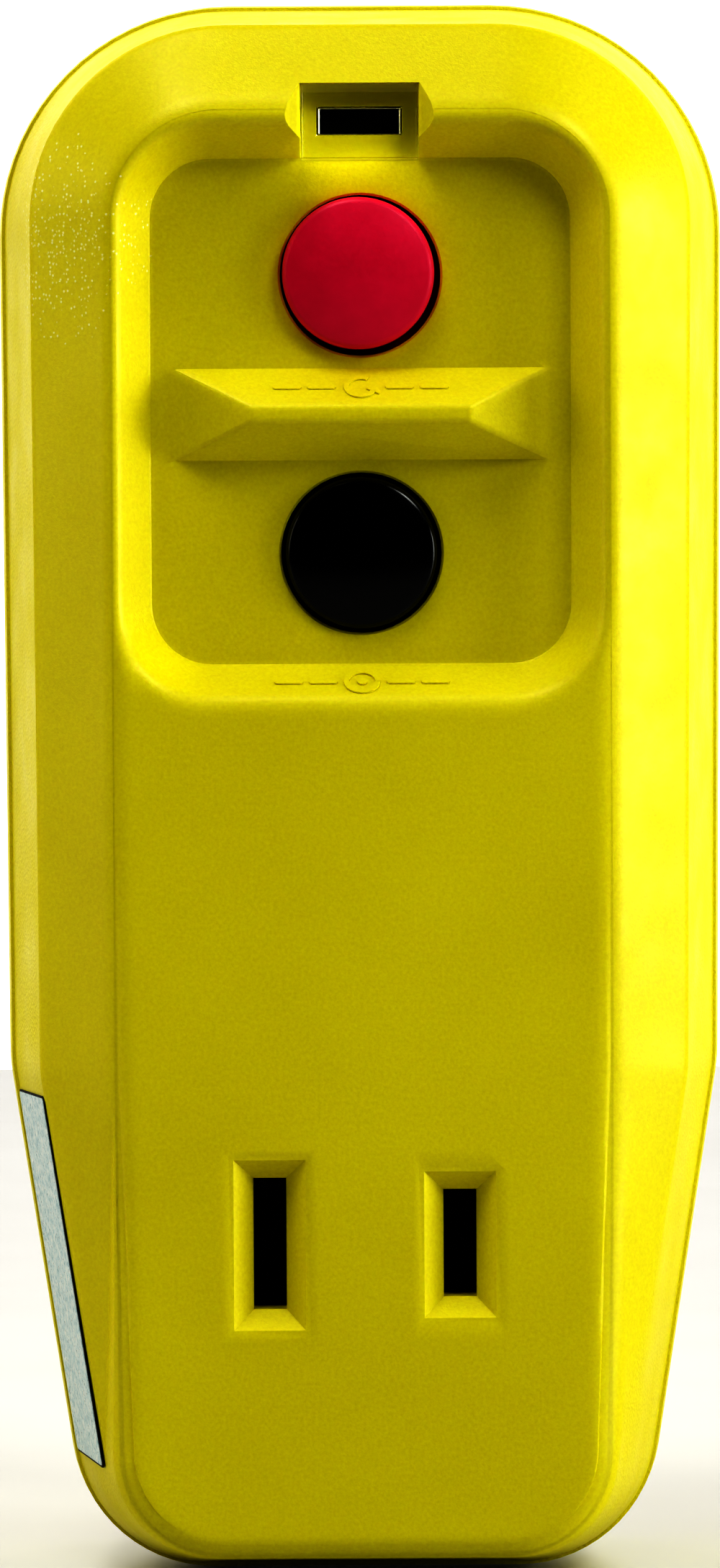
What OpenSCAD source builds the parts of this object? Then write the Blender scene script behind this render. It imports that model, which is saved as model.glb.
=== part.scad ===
// Plug-in ground-fault circuit interrupter with one polarised two-slot outlet.
// The frame: +Z up, +X to the right as seen from the front, -Y towards the user.
// The origin is on the flat rear face, midway between the two plug blades.

/* [Casing] */
// Depth from the rear face to the front face
depth = 38; // [36:0.5:42]
// Half the width of the casing at its widest line
half_w = 24.9; // [24:0.1:27]
// Height of the top of the casing above the outlet slots
top_z = 83.6; // [83:0.1:86]
// Depth of the bottom of the casing below the outlet slots
bottom_z = -24.2; // [-25:0.1:-23.5]
// Height at which the sides start to taper towards the bottom
bend_z = 12; // [10:0.5:16]
// Radius of the two top corners
top_r = 15.9; // [14:0.1:16]
// Radius of the two bottom corners
bottom_r = 10; // [9:0.1:10.5]
// Sideways distance from the widest line to the bottom corner's side
taper_in = 4.4; // [4:0.1:5]
// Wall thickness
wall = 2.3; // [2:0.1:2.5]
// Depth of the joint line between the two covers, from the rear face
joint_depth = 20; // [19.5:0.1:20.5]

/* [Front face] */
// Half the width of the flat front face
face_hw = 16.6; // [16.4:0.1:17]
// Depth of the sloping border around the front face
bevel_depth = 4.6; // [4:0.1:5]
// How much narrower the casing is at the border's outer edge, on each side
bevel_inset = 2.8; // [2.5:0.1:3]
// Depth of the recess that holds the buttons
recess_depth = 3.2; // [3:0.1:3.4]
// Half the width of the recess floor
recess_hw = 14; // [13.8:0.1:14.2]
// Thickness of the recess floor
recess_floor_t = 2.4; // [2.2:0.1:2.6]

/* [Outlet] */
// Distance between the centres of the two slots and of the two blades
pitch = 12.7; // [12.7:0.1:12.7]
// Width of each slot
slot_w = 2.2; // [2:0.1:2.3]
// Height of the wide (neutral) slot
neutral_slot_h = 8.8; // [8.3:0.1:8.8]
// Height of the narrow (hot) slot
hot_slot_h = 7.2; // [7:0.1:7.4]
// Width of the chamfer around each slot
slot_chamfer = 1.45; // [1.2:0.05:1.5]

/* [Plug blades] */
// Length of the blades behind the rear face
blade_l = 16.5; // [15.9:0.1:18.2]
// Thickness of the blades
blade_t = 1.5; // [1.4:0.05:1.6]
// Height of the wide (neutral) blade
neutral_blade_h = 7.9; // [7.8:0.1:8]
// Height of the narrow (hot) blade
hot_blade_h = 6.3; // [6.2:0.1:6.4]
// Radius of the hole near the tip of each blade
blade_hole_r = 1.6; // [1.5:0.05:1.7]

/* [Buttons] */
// Height of the reset button's centre above the slots
reset_z = 64.6; // [64.4:0.1:64.8]
// Height of the test button's centre above the slots
test_z = 46.1; // [46:0.1:46.2]
// Diameter of both button caps
button_d = 10.2; // [10:0.1:10.4]
// Diameter of the holes for the caps
button_hole_d = 10.7; // [10.6:0.1:10.8]
// Travel of the reset button
reset_travel = 2.5; // [2.2:0.1:2.5]
// Travel of the test button
test_travel = 1.4; // [1.2:0.1:1.4]

/* [Mechanism] */
// Travel of the contact carriage between open and closed
contact_travel = 1.35; // [1.2:0.05:1.4]
// Travel of the solenoid plunger and of the latch
plunger_travel = 1.2; // [1:0.1:1.5]
// Height of the centre of the sensing transformer above the slots
core_z = 22; // [21.5:0.1:22.5]

/* [Hidden] */
$fn = 64;
eps = 0.02;

YELLOW = "#f2e600";
RED = "#d3001f";
BLACK = "#1a1a1a";
STEEL = "#b4b7bb";
BRASS = "#c9a14a";
COPPER = "#b8673a";
IVORY = "#e6e1d0";
GREY = "#54585c";

front_y = -depth;
joint_y = -joint_depth;
bevel_y = front_y + bevel_depth;
floor_y = front_y + recess_depth;
floor_in_y = floor_y + recess_floor_t;
rim_y = joint_y + 4;
joint_step = 0.35;
rear_in_y = -2.4;

// Corner steps of an outline: bottom corner, side bend and top corner
BOTTOM_STEPS = 9;
BEND_STEPS = 3;
TOP_STEPS = 12;
bend_r = 12;

// How much further down and up the sloping border reaches than the casing's own outline
border_low = 0.35;
border_high = 0.6;

// Recess limits on the floor, and how far the walls lean out
recess_lo = 38.7;
recess_hi = 72.4;
recess_r = 4;
recess_run = 2.4;

// Slots: each a [centre x, height]
slots = [[-pitch / 2, neutral_slot_h], [pitch / 2, hot_slot_h]];
slot_chamfer_depth = 1.6;

// Lens pocket and the window under the lens
lens_hw = 3.9;
lens_lo = 72.2;
lens_hi = 77.3;
lens_y = front_y + 1.1;
lens_cut = 0.6;
flare_w = 1.1;
flare_depth = 1.5;
window_z = 74.85;
window_hw = 2.85;
window_hh = 0.95;
lens_gap = 0.05;

// Screws and their bosses: [x, z]
screw_at = [[-14, 75.4], [14, 75.4], [-11.6, -14.2], [11.6, -14.2]];
boss_d = 6.2;
foot_boss_d = 8.4;
screw_d = 3;
screw_head_d = 5.6;
screw_head_y = -9;
screw_tip_y = -27;
counterbore_d = 6;

// Printed circuit board
board_front_y = -12.6;
board_rear_y = -11;

// Buttons
cap_wall = 1.1;
flange_d = 12.4;
flange_front_y = floor_in_y + 0.2;
flange_rear_y = flange_front_y + 0.8;
collar_id = 13;
collar_od = 15.6;
guide_y = -28.8;
guide_t = 1.2;
reset_front_y = front_y + 1.4;
test_front_y = front_y + 1.8;
pin_d = 2.4;

// Mechanism
frame_hx = 12.3;
frame_wall = 1.5;
frame_lo = 56;
frame_hi = 72.2;
frame_front_y = guide_y + guide_t;
bus_y = -25.6;
bus_t = 0.8;
rivet_t = 0.6;
contact_x = 9;
contact_dz = 5.5;
carriage_front_y = bus_y + bus_t + rivet_t + 1.4 + rivet_t + bus_t;
carriage_t = 4;
carriage_hx = 10.4;
carriage_hz = 7.6;
latch_t = 0.8;
latch_y = carriage_front_y + 1.5;

// Solenoid, on an axis along Z
coil_y = -16.9;
coil_lo = 33.8;
coil_hi = 46.6;
steel_t = 1;
plunger_r = 1.8;
neck_lo = 53;
neck_hi = 54.2;

// Sensing transformer, on an axis along Y
core_id = 10;
core_od = 16;
core_t = 3.2;
sense_core_y = -17.8;
neutral_core_y = -22.2;

// ---------------------------------------------------------------- outlines

function arc(c, r, a0, a1, steps) =
    [for (i = [0:steps]) let (a = a0 + (a1 - a0) * i / steps) c + r * [cos(a), sin(a)]];

// Direction of the outward normal of the line that touches two circles on their right
function touch_angle(c0, r0, c1, r1) =
    let (d = c1 - c0) atan2(d[1], d[0]) - acos((r0 - r1) / norm(d));

// A closed outline, symmetric about X = 0, round three circles on each side. low_out and high_out move
// the end circles outwards along the lines that touch them.
function outline(cb, rb, cm, rm, ct, rt, low_out = 0, high_out = 0) =
    let (
        low = touch_angle(cb, rb, cm, rm),
        high = touch_angle(cm, rm, ct, rt),
        right = concat(
            arc(cb + low_out * [sin(low), -cos(low)], rb, -90, low, BOTTOM_STEPS),
            arc(cm, rm, low, high, BEND_STEPS),
            arc(ct + high_out * [-sin(high), cos(high)], rt, high, 90, TOP_STEPS)
        )
    )
    concat(right, [for (i = [len(right) - 1:-1:0]) [-right[i][0], right[i][1]]]);

// The casing's outline, moved in by inset
function casing(inset, low_out = 0, high_out = 0) = outline(
    [half_w - taper_in - bottom_r, bottom_z + bottom_r], bottom_r - inset,
    [half_w - 0.35 - bend_r, bend_z], bend_r - inset,
    [half_w - top_r, top_z - top_r], top_r - inset,
    low_out, high_out
);

// A rectangle with round corners, r_lo at the bottom and r_hi at the top; its sides have points at z_mid
function panel(hw, z0, z_mid, z1, r_lo, r_hi) = outline(
    [hw - r_lo, z0 + r_lo], r_lo,
    [hw - r_lo + eps, z_mid], r_lo,
    [hw - r_hi, z1 - r_hi], r_hi
);

function face_panel(grow) = panel(face_hw + grow, -21.1 - grow, bend_z, 75.6 + grow, 7 + grow, 7.2 + grow);
function recess_panel(grow) = panel(
    recess_hw + grow, recess_lo - grow, (recess_lo + recess_hi) / 2, recess_hi + grow,
    recess_r + grow, recess_r + grow
);

// A strip of the given width along a path of points, as a closed outline
function strip(path, w) =
    let (
        n = len(path),
        dir = [for (i = [0:n - 2]) (path[i + 1] - path[i]) / norm(path[i + 1] - path[i])],
        side = [for (i = [0:n - 1])
            let (
                a = dir[max(i - 1, 0)],
                b = dir[min(i, n - 2)],
                m = [-a[1] - b[1], a[0] + b[0]]
            )
            m * 2 / (m * m)]
    )
    concat(
        [for (i = [0:n - 1]) path[i] - side[i] * w / 2],
        [for (i = [n - 1:-1:0]) path[i] + side[i] * w / 2]
    );

// ---------------------------------------------------------------- shape helpers

// A solid through outlines [[y, points], ...] listed from front to rear
module loft(rings) {
    n = len(rings[0][1]);
    last = len(rings) - 1;
    points = [for (ring = rings) for (p = ring[1]) [p[0], ring[0], p[1]]];
    sides = [for (i = [0:last - 1]) for (j = [0:n - 1])
        let (a = i * n + j, b = i * n + (j + 1) % n)
        each [[a, b, b + n], [a, b + n, a + n]]];
    polyhedron(points, concat([[for (j = [n - 1:-1:0]) j]], sides, [[for (j = [0:n - 1]) last * n + j]]));
}

// An XZ outline, extruded from y0 to y1
module slab(points, y0, y1) {
    translate([0, y1, 0]) rotate([90, 0, 0]) linear_extrude(y1 - y0) polygon(points);
}

// A cylinder along Y
module rod_y(x, z, y0, y1, d) {
    translate([x, y1, z]) rotate([90, 0, 0]) cylinder(h = y1 - y0, d = d);
}

// A box given by its limits
module box(x, y, z) {
    translate([x[0], y[0], z[0]]) cube([x[1] - x[0], y[1] - y[0], z[1] - z[0]]);
}

// A profile of [radius, y] points, turned about the line along Y through x and z
module turned_y(z, profile, x = 0) {
    translate([x, 0, z]) rotate([90, 0, 0]) rotate_extrude()
        polygon([for (p = profile) [p[0], -p[1]]]);
}

// A coil spring along Z from 0 to h, outer diameter d, with closed ends
module coil_spring(d, wire, h, turns) {
    sides = 6;
    per_turn = 14;
    rings = turns * per_turn;
    r = (d - wire) / 2;
    rise = h - wire;
    points = [for (i = [0:rings]) for (k = [0:sides - 1])
        let (
            a = i * 360 / per_turn,
            t = 360 * k / sides,
            z = wire / 2 + rise * i / rings
        )
        [(r + wire / 2 * cos(t)) * cos(a), (r + wire / 2 * cos(t)) * sin(a), z + wire / 2 * sin(t)]];
    skin = [for (i = [0:rings - 1]) for (k = [0:sides - 1])
        let (a = i * sides + k, b = i * sides + (k + 1) % sides)
        each [[a, b, b + sides], [a, b + sides, a + sides]]];
    polyhedron(points, concat([[for (k = [sides - 1:-1:0]) k]], skin,
        [[for (k = [0:sides - 1]) rings * sides + k]]));
}

// A coil spring along Y between y0 and y1
module spring_y(x, z, y0, y1, d, wire, turns) {
    translate([x, y1, z]) rotate([90, 0, 0]) coil_spring(d, wire, y1 - y0, turns);
}

// ---------------------------------------------------------------- casing

module slot_cut(x, h) {
    half = slot_w / 2;
    mouth = half + slot_chamfer;
    extra = 0.5;
    lean = slot_chamfer * extra / slot_chamfer_depth;
    loft([
        [front_y - extra, square_ring(x, mouth + lean, h / 2 + slot_chamfer + lean)],
        [front_y + slot_chamfer_depth, square_ring(x, half, h / 2)]
    ]);
    box([x - half, x + half], [front_y + 1, front_y + 8], [-h / 2, h / 2]);
}

// A rectangle centred on x, as a counter-clockwise outline
function square_ring(x, hw, hh) = [[x - hw, -hh], [x + hw, -hh], [x + hw, hh], [x - hw, hh]];

// The hip-roofed ridge between the two buttons
module ridge() {
    mid = (reset_z + test_z) / 2;
    base = [12.6, 3.05];
    crest = [7.3, 0.5];
    function ring(half) = [
        [-half[0], mid - half[1]], [half[0], mid - half[1]],
        [half[0], mid + half[1]], [-half[0], mid + half[1]]
    ];
    loft([[front_y + 0.1, ring(crest)], [floor_y + eps, ring(base)]]);
}

module button_collar(z) {
    difference() {
        rod_y(0, z, floor_in_y - 0.1, guide_y, collar_od);
        rod_y(0, z, floor_in_y, guide_y + 1, collar_id);
        rod_y(0, z, floor_in_y - 1, floor_in_y + 1, button_hole_d);
    }
}

module front_shell() {
    difference() {
        loft([
            [front_y, face_panel(0)],
            [bevel_y, casing(bevel_inset, border_low, border_high)],
            [joint_y, casing(joint_step + 0.2)]
        ]);
        loft([
            [front_y + wall + 0.3, face_panel(-1.6)],
            [bevel_y + 1.6, casing(bevel_inset + wall)],
            [joint_y + 1, casing(wall + joint_step)]
        ]);
    }
}

// The notch for the lens, flared to the sides, and the window behind it
module lens_pocket() {
    hw = lens_hw + lens_gap;
    mid = (lens_lo + lens_hi) / 2;
    hh = (lens_hi - lens_lo) / 2 + lens_gap;
    out = 0.5;
    function ring(w) = [[-w, mid - hh - 1], [w, mid - hh - 1], [w, mid + hh], [-w, mid + hh]];
    box([-hw, hw], [front_y - 1, floor_y - lens_gap], [lens_lo - 1, lens_hi + lens_gap]);
    loft([
        [front_y - out, ring(hw + flare_w * (flare_depth + out) / flare_depth)],
        [front_y + flare_depth, ring(hw)]
    ]);
    box([-window_hw, window_hw], [front_y, floor_in_y + 1], [window_z - window_hh, window_z + window_hh]);
}

module front_cover() color(YELLOW) {
    difference() {
        union() {
            front_shell();
            slab(recess_panel(2), floor_y - 1.2, floor_in_y);
            box([-6.5, 6.5], [floor_y - 0.8, floor_in_y], [70, 77.4]);
            for (s = slots)
                slab(square_ring(s[0], 2.6, s[1] / 2 + 1.5), front_y + wall, front_y + wall + 2);
            for (p = screw_at) rod_y(p[0], p[1], post_front_y(p[1]), joint_y, boss_d);
        }
        loft([
            [front_y - 0.8, recess_panel(recess_run * (recess_depth + 0.8) / recess_depth)],
            [floor_y, recess_panel(0)]
        ]);
        for (s = slots) slot_cut(s[0], s[1]);
        lens_pocket();
        for (z = [reset_z, test_z]) rod_y(0, z, front_y, floor_in_y + 1, button_hole_d);
        for (p = screw_at) rod_y(p[0], p[1], screw_tip_y - 1, joint_y + 1, screw_d + 2 * eps);
    }
    ridge();
    for (z = [reset_z, test_z]) button_collar(z);
}

// The top posts end behind the sloping border, the bottom ones behind the flat face
function post_front_y(z) = z > 0 ? bevel_y - 0.2 : front_y + 1.8;

module rear_shell() {
    difference() {
        loft([
            [joint_y, casing(joint_step)],
            [rim_y, casing(0)],
            [-1.4, casing(1)],
            [0, casing(2.4)]
        ]);
        loft([
            [joint_y - 1, casing(wall + joint_step)],
            [rim_y, casing(wall)],
            [rear_in_y, casing(wall + 1)]
        ]);
    }
}

module rear_cover() color(YELLOW) {
    difference() {
        union() {
            rear_shell();
            for (p = screw_at) {
                rod_y(p[0], p[1], board_rear_y, -0.6, foot_boss_d);
                rod_y(p[0], p[1], joint_y, board_rear_y + 0.1, boss_d);
            }
        }
        for (p = screw_at) {
            rod_y(p[0], p[1], screw_head_y, 1, counterbore_d);
            rod_y(p[0], p[1], joint_y - 1, 0, screw_d + 0.4);
        }
        blade_opening(-pitch / 2, neutral_blade_h);
        blade_opening(pitch / 2, hot_blade_h);
    }
}

module blade_opening(x, h) {
    gap = 0.15;
    box([x - blade_t / 2 - gap, x + blade_t / 2 + gap], [rear_in_y - 7, 1], [-h / 2 - gap, h / 2 + gap]);
}

module indicator_lens() color("#e9edc0", 0.5) {
    difference() {
        union() {
            box([-lens_hw, lens_hw], [lens_y, floor_y - 2 * lens_gap], [lens_lo, lens_hi]);
            box([-window_hw + lens_gap, window_hw - lens_gap], [lens_y + 0.5, floor_y + 0.9],
                [window_z - window_hh + lens_gap, window_z + window_hh - lens_gap]);
        }
        translate([0, lens_y, lens_hi]) rotate([45, 0, 0])
            cube([3 * lens_hw, lens_cut * sqrt(2), lens_cut * sqrt(2)], center = true);
    }
}

module indicator_led() color(BLACK) {
    lead = 0.5;
    lead_x = 1.27;
    body_rear_y = -29;
    box([-2.5, 2.5], [floor_y + 1.1, body_rear_y], [window_z - 0.85, window_z + 0.85]);
    for (s = [-1, 1])
        box([s * lead_x - lead / 2, s * lead_x + lead / 2], [body_rear_y - eps, board_rear_y + 0.8],
            [window_z - lead / 2, window_z + lead / 2]);
}

// A thin foil on the left wall of the front cover, below the bend
module foil() {
    thick = 0.15;
    lift = 0.03;
    side_low = casing(bevel_inset)[BOTTOM_STEPS];
    side_high = casing(bevel_inset)[BOTTOM_STEPS + 1];
    edge_low = casing(joint_step + 0.2)[BOTTOM_STEPS];
    out = [side_high[1] - side_low[1], -(side_high[0] - side_low[0])] / norm(side_high - side_low);
    function at(z, share, off) =
        let (
            y = bevel_y + (joint_y - bevel_y) * share,
            in = (edge_low - side_low) * out * share,
            base = side_low + out * (in + off),
            along = [-out[1], out[0]],
            p = base + along * (z - base[1]) / along[1]
        )
        [-p[0], y, p[1]];
    corners = [[9.5, 0.03], [9.1, 0.97], [-15.5, 0.97], [-15.3, 0.03]];
    polyhedron(
        [for (off = [lift, lift + thick]) for (c = corners) at(c[0], c[1], off)],
        [[0, 3, 2, 1], [4, 5, 6, 7], [0, 1, 5, 4], [1, 2, 6, 5], [2, 3, 7, 6], [3, 0, 4, 7]]
    );
}

module rating_label() color("#b9cfd6") foil();

module case_screws() color(STEEL) {
    head_t = 2.2;
    for (p = screw_at) difference() {
        union() {
            rod_y(p[0], p[1], screw_head_y, screw_head_y + head_t, screw_head_d);
            rod_y(p[0], p[1], screw_tip_y, screw_head_y + eps, screw_d);
        }
        for (a = [0, 90]) translate([p[0], screw_head_y + head_t, p[1]]) rotate([0, a, 0])
            cube([3.4, 2.4, 0.8], center = true);
    }
}

// ---------------------------------------------------------------- buttons

// A hollow cap with a domed front and a flange, and a solid stem down its axis
module button(z, cap_y, stem_d, stem_end_y) {
    r = button_d / 2;
    edge = 0.9;
    dome = 0.35;
    dome_r = ((r - edge) * (r - edge) + dome * dome) / (2 * dome);
    roof = 1.4;
    front = [for (i = [0:8]) let (x = (r - edge) * i / 8)
        [x, cap_y + dome_r - sqrt(dome_r * dome_r - x * x)]];
    corner = [for (i = [1:8])
        let (a = 90 * i / 8) [r - edge + edge * sin(a), cap_y + dome + edge - edge * cos(a)]];
    turned_y(z, concat(front, corner, [
        [r, flange_front_y], [flange_d / 2, flange_front_y], [flange_d / 2, flange_rear_y],
        [r - cap_wall, flange_rear_y], [r - cap_wall, cap_y + dome + roof],
        [stem_d / 2, cap_y + dome + roof], [stem_d / 2, stem_end_y], [0, stem_end_y]
    ]));
}

module reset_button() color(RED) {
    stem_end_y = -29.4;
    difference() {
        button(reset_z, reset_front_y, 4.6, stem_end_y);
        rod_y(0, reset_z, -32.5, stem_end_y + 1, pin_d + 2 * eps);
    }
}

module reset_pin() color(STEEL) {
    r = pin_d / 2;
    tip_y = -17.7;
    turned_y(reset_z, [
        [0, -32.3], [r, -32.3], [r, tip_y - 2], [0.8, tip_y - 2], [0.8, tip_y - 1],
        [r, tip_y - 1], [r, tip_y - 0.6], [0.5, tip_y], [0, tip_y]
    ]);
}

module reset_spring() color(STEEL)
    spring_y(0, reset_z, reset_front_y + 1.8, guide_y - 0.05, 7.4, 0.5, 6);

module test_button() color(BLACK)
    button(test_z, test_front_y, 3, -27.2);

module test_contact_bridge() color(BRASS)
    box([-7.2, 7.2], [-27.18, -26.7], [test_z - 1.2, test_z + 1.2]);

module test_spring() color(STEEL)
    spring_y(0, test_z, test_front_y + 1.8, guide_y - 0.05, 7.4, 0.5, 6);

module test_contact_pins() color(BRASS)
    for (s = [-1, 1]) {
        rod_y(s * 6.55, test_z, -25.2, board_rear_y + 1, 0.9);
        rod_y(s * 6.55, test_z, board_front_y - 1, board_front_y - eps, 1.8);
    }

// The plate that the two button springs stand on
module button_guide() color(IVORY) {
    difference() {
        box([-8, 8], [guide_y, guide_y + guide_t], [test_z - 7.8, reset_z + 7.8]);
        rod_y(0, reset_z, guide_y - 1, guide_y + 2, 5.2);
        rod_y(0, test_z, guide_y - 1, guide_y + 2, 3.5);
    }
}

// ---------------------------------------------------------------- contact mechanism

module mechanism_frame() color(IVORY) {
    inner = frame_hx - frame_wall;
    difference() {
        box([-frame_hx, frame_hx], [frame_front_y, board_front_y], [frame_lo, frame_hi]);
        box([-inner, inner], [bus_y, board_front_y + 1], [frame_lo - 1, frame_hi + 1]);
        rod_y(0, reset_z, frame_front_y - 1, bus_y + 1, 5.2);
        box([-frame_hx - 1, frame_hx + 1], [bus_y - eps, bus_y + bus_t + 0.2],
            [reset_z + contact_dz - 1.8, reset_z + contact_dz + 1.8]);
    }
}

module contact_carriage() color(BLACK) {
    y0 = carriage_front_y;
    difference() {
        box([-carriage_hx, carriage_hx], [y0, y0 + carriage_t],
            [reset_z - carriage_hz, reset_z + carriage_hz]);
        rod_y(0, reset_z, y0 - 1, y0 + carriage_t + 1, pin_d + 0.5);
        box([-3.4, 3.4], [latch_y - 0.15, latch_y + latch_t + 0.15], [reset_z - 9, reset_z + 9]);
        for (s = [-1, 1]) rod_y(s * 5.2, reset_z, y0 - 1, y0 + 0.8, 3);
    }
}

// The two springs that push the carriage open
module carriage_springs() color(STEEL)
    for (s = [-1, 1])
        spring_y(s * 5.2, reset_z, bus_y + 0.05, carriage_front_y + 0.75, 2.6, 0.35, 5);

// A bar with a contact rivet at each end, on the carriage
module bridge(x) {
    y1 = carriage_front_y - eps;
    box([x - 1.3, x + 1.3], [y1 - bus_t, y1], [reset_z - 7, reset_z + 7]);
    for (s = [-1, 1]) rod_y(x, reset_z + s * contact_dz, y1 - bus_t - rivet_t, y1 - bus_t + eps, 2.4);
}

module neutral_bridge() color(COPPER) bridge(-contact_x);

module hot_bridge() color(COPPER) bridge(contact_x);

// Slides in the carriage; its bent foot hooks the plunger's neck
module latch_plate() color(STEEL) {
    foot_lo = neck_lo + 0.2;
    hole_d = pin_d + 0.5;
    difference() {
        union() {
            box([-3.2, 3.2], [latch_y, latch_y + latch_t], [foot_lo, reset_z + 8.6]);
            box([-3.2, 3.2], [latch_y, -14.6], [foot_lo, foot_lo + latch_t]);
        }
        for (up = [0, plunger_travel]) rod_y(0, reset_z + up, latch_y - 1, latch_y + 2, hole_d);
        box([-hole_d / 2, hole_d / 2], [latch_y - 1, latch_y + 2], [reset_z, reset_z + plunger_travel]);
        box([-1.2, 1.2], [coil_y - 1.2, -14], [foot_lo - 1, foot_lo + 2]);
    }
}

// ---------------------------------------------------------------- solenoid

module solenoid_frame() color(STEEL) {
    hx = 5.3;
    y = [-20.9, board_front_y - 0.3];
    lo = coil_lo - steel_t - 0.2;
    hi = coil_hi + steel_t + 0.2;
    difference() {
        box([-hx, hx], y, [lo, hi]);
        box([-hx + steel_t, hx - steel_t], [y[0] - 1, y[1] + 1], [lo + steel_t, hi - steel_t]);
        translate([0, coil_y, hi - 2]) cylinder(h = 4, r = plunger_r + 0.25);
    }
    translate([0, coil_y, lo + steel_t - eps]) cylinder(h = 4, r = plunger_r);
}

module solenoid_bobbin() color(IVORY)
    translate([0, coil_y, 0]) rotate_extrude() polygon([
        [2.1, coil_lo], [3.9, coil_lo], [3.9, coil_lo + 0.8], [2.5, coil_lo + 0.8],
        [2.5, coil_hi - 0.8], [3.9, coil_hi - 0.8], [3.9, coil_hi], [2.1, coil_hi]
    ]);

// The winding, with one round groove for each turn of its outer layer
module solenoid_coil() color(COPPER) {
    lo = coil_lo + 0.85;
    hi = coil_hi - 0.85;
    turns = 22;
    pitch_z = (hi - lo) / turns;
    outer = [for (i = [0:turns - 1]) for (k = [0:3])
        let (a = -90 + 180 * k / 3) [3.55 + 0.2 * cos(a), lo + pitch_z * (i + 0.5 + 0.5 * sin(a) * 0.98)]];
    translate([0, coil_y, 0]) rotate_extrude() polygon(concat([[2.55, lo]], outer, [[2.55, hi]]));
}

module solenoid_plunger() color(STEEL)
    translate([0, coil_y, 0]) rotate_extrude() polygon([
        [0, 40], [plunger_r, 40], [plunger_r, 51.9], [2.7, 51.9], [2.7, 52.5], [plunger_r, 52.5],
        [plunger_r, neck_lo], [1, neck_lo], [1, neck_hi], [plunger_r, neck_hi], [plunger_r, 55], [0, 55]
    ]);

module plunger_spring() color(STEEL)
    translate([0, coil_y, coil_hi + steel_t + 0.25]) coil_spring(5.2, 0.35, 4, 5);

// ---------------------------------------------------------------- sensing transformer

module core(y) {
    difference() {
        rod_y(0, core_z, y, y + core_t, core_od);
        rod_y(0, core_z, y - 1, y + core_t + 1, core_id);
    }
}

// Square loops of wire round a core
module winding(y, turns, start, spread) {
    wire = 0.35;
    mid_r = (core_od + core_id) / 4;
    half = (core_od - core_id) / 4 + eps;
    for (i = [0:turns - 1]) translate([0, y + core_t / 2, core_z])
        rotate([0, start + spread * i / turns, 0]) translate([mid_r, 0, 0]) difference() {
            cube([2 * (half + wire), core_t + 2 * (wire + eps), wire], center = true);
            cube([2 * half, core_t + 2 * eps, 1], center = true);
        }
}

module sense_core() color(GREY) core(sense_core_y);

module sense_winding() color(COPPER) winding(sense_core_y, 24, 20, 320);

module neutral_core() color(GREY) core(neutral_core_y);

module neutral_winding() color(COPPER) winding(neutral_core_y, 14, 200, 180);

// An open cup with a hub, which keeps the cores clear of the conductors
module transformer_cup() color(BLACK)
    turned_y(core_z, [
        [3.9, -23.2], [4.4, -23.2], [4.4, -13.8], [8.8, -13.8], [8.8, -23.2],
        [9.7, -23.2], [9.7, board_front_y - eps], [3.9, board_front_y - eps]
    ]);

// ---------------------------------------------------------------- conductors

// From the blade, through the transformer, to the fixed contact; side is -1 or 1
module line_bus(side) {
    w = 2.6;
    core_x = side * 2;
    blade_x = side * pitch / 2;
    back = [board_rear_y + 0.1, board_rear_y + 0.1 + bus_t];
    low_z = reset_z - contact_dz;
    slab(strip_for(side, [[blade_x, -2], [blade_x, 8], [core_x, 17], [core_x, core_z + 1.3]], w * 0.6),
        back[0], back[1]);
    box([core_x - 0.78, core_x + 0.78], [bus_y, back[1]], [core_z - 1.3, core_z + 1.3]);
    slab(strip_for(side, [[core_x, core_z - 1.3], [core_x, core_z + 3], [side * contact_x, core_z + 12],
        [side * contact_x, low_z + 1.4]], w * 0.6), bus_y, bus_y + bus_t);
    box([side * contact_x - 1.3, side * contact_x + 1.3], [bus_y, bus_y + bus_t], [low_z - 6, low_z + 1.4]);
    rod_y(side * contact_x, low_z, bus_y + bus_t - eps, bus_y + bus_t + rivet_t, 2.4);
}

// The outline of a strip, wound the same way on both sides
function strip_for(side, path, w) =
    let (s = strip(path, w)) [for (i = [0:len(s) - 1]) s[i]];

module line_bus_neutral() color(COPPER) line_bus(-1);

module line_bus_hot() color(COPPER) line_bus(1);

// The spring socket for a plug blade, with its strip up to the fixed contact
module load_terminal(side, slot_h) {
    t = 0.6;
    x = side * pitch / 2;
    strip_x = side * 17;
    high_z = reset_z + contact_dz;
    arms = [[-1.95, -33], [-1.02, -30.6], [-1.5, -27], [-1.5, -19.6], [1.5, -19.6], [1.5, -27],
        [1.02, -30.6], [1.95, -33]];
    translate([x, 0, -slot_h / 2 + 0.5]) linear_extrude(slot_h - 1) polygon(strip(arms, t));
    out = [min(x, strip_x + side * 0.4), max(x, strip_x + side * 0.4)];
    box(out, [-19.9, -19.3], [-1.5, 1.5]);
    box([strip_x - 0.4, strip_x + 0.4], [bus_y, -19.3], [-1.5, high_z + 1.5]);
    inner = side * (contact_x - 1.3);
    box([min(inner, strip_x + side * 0.4), max(inner, strip_x + side * 0.4)], [bus_y, bus_y + bus_t],
        [high_z - 1.5, high_z + 1.5]);
    rod_y(side * contact_x, high_z, bus_y + bus_t - eps, bus_y + bus_t + rivet_t, 2.4);
}

module load_terminal_neutral() color(BRASS) load_terminal(-1, neutral_slot_h);

module load_terminal_hot() color(BRASS) load_terminal(1, hot_slot_h);

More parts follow.
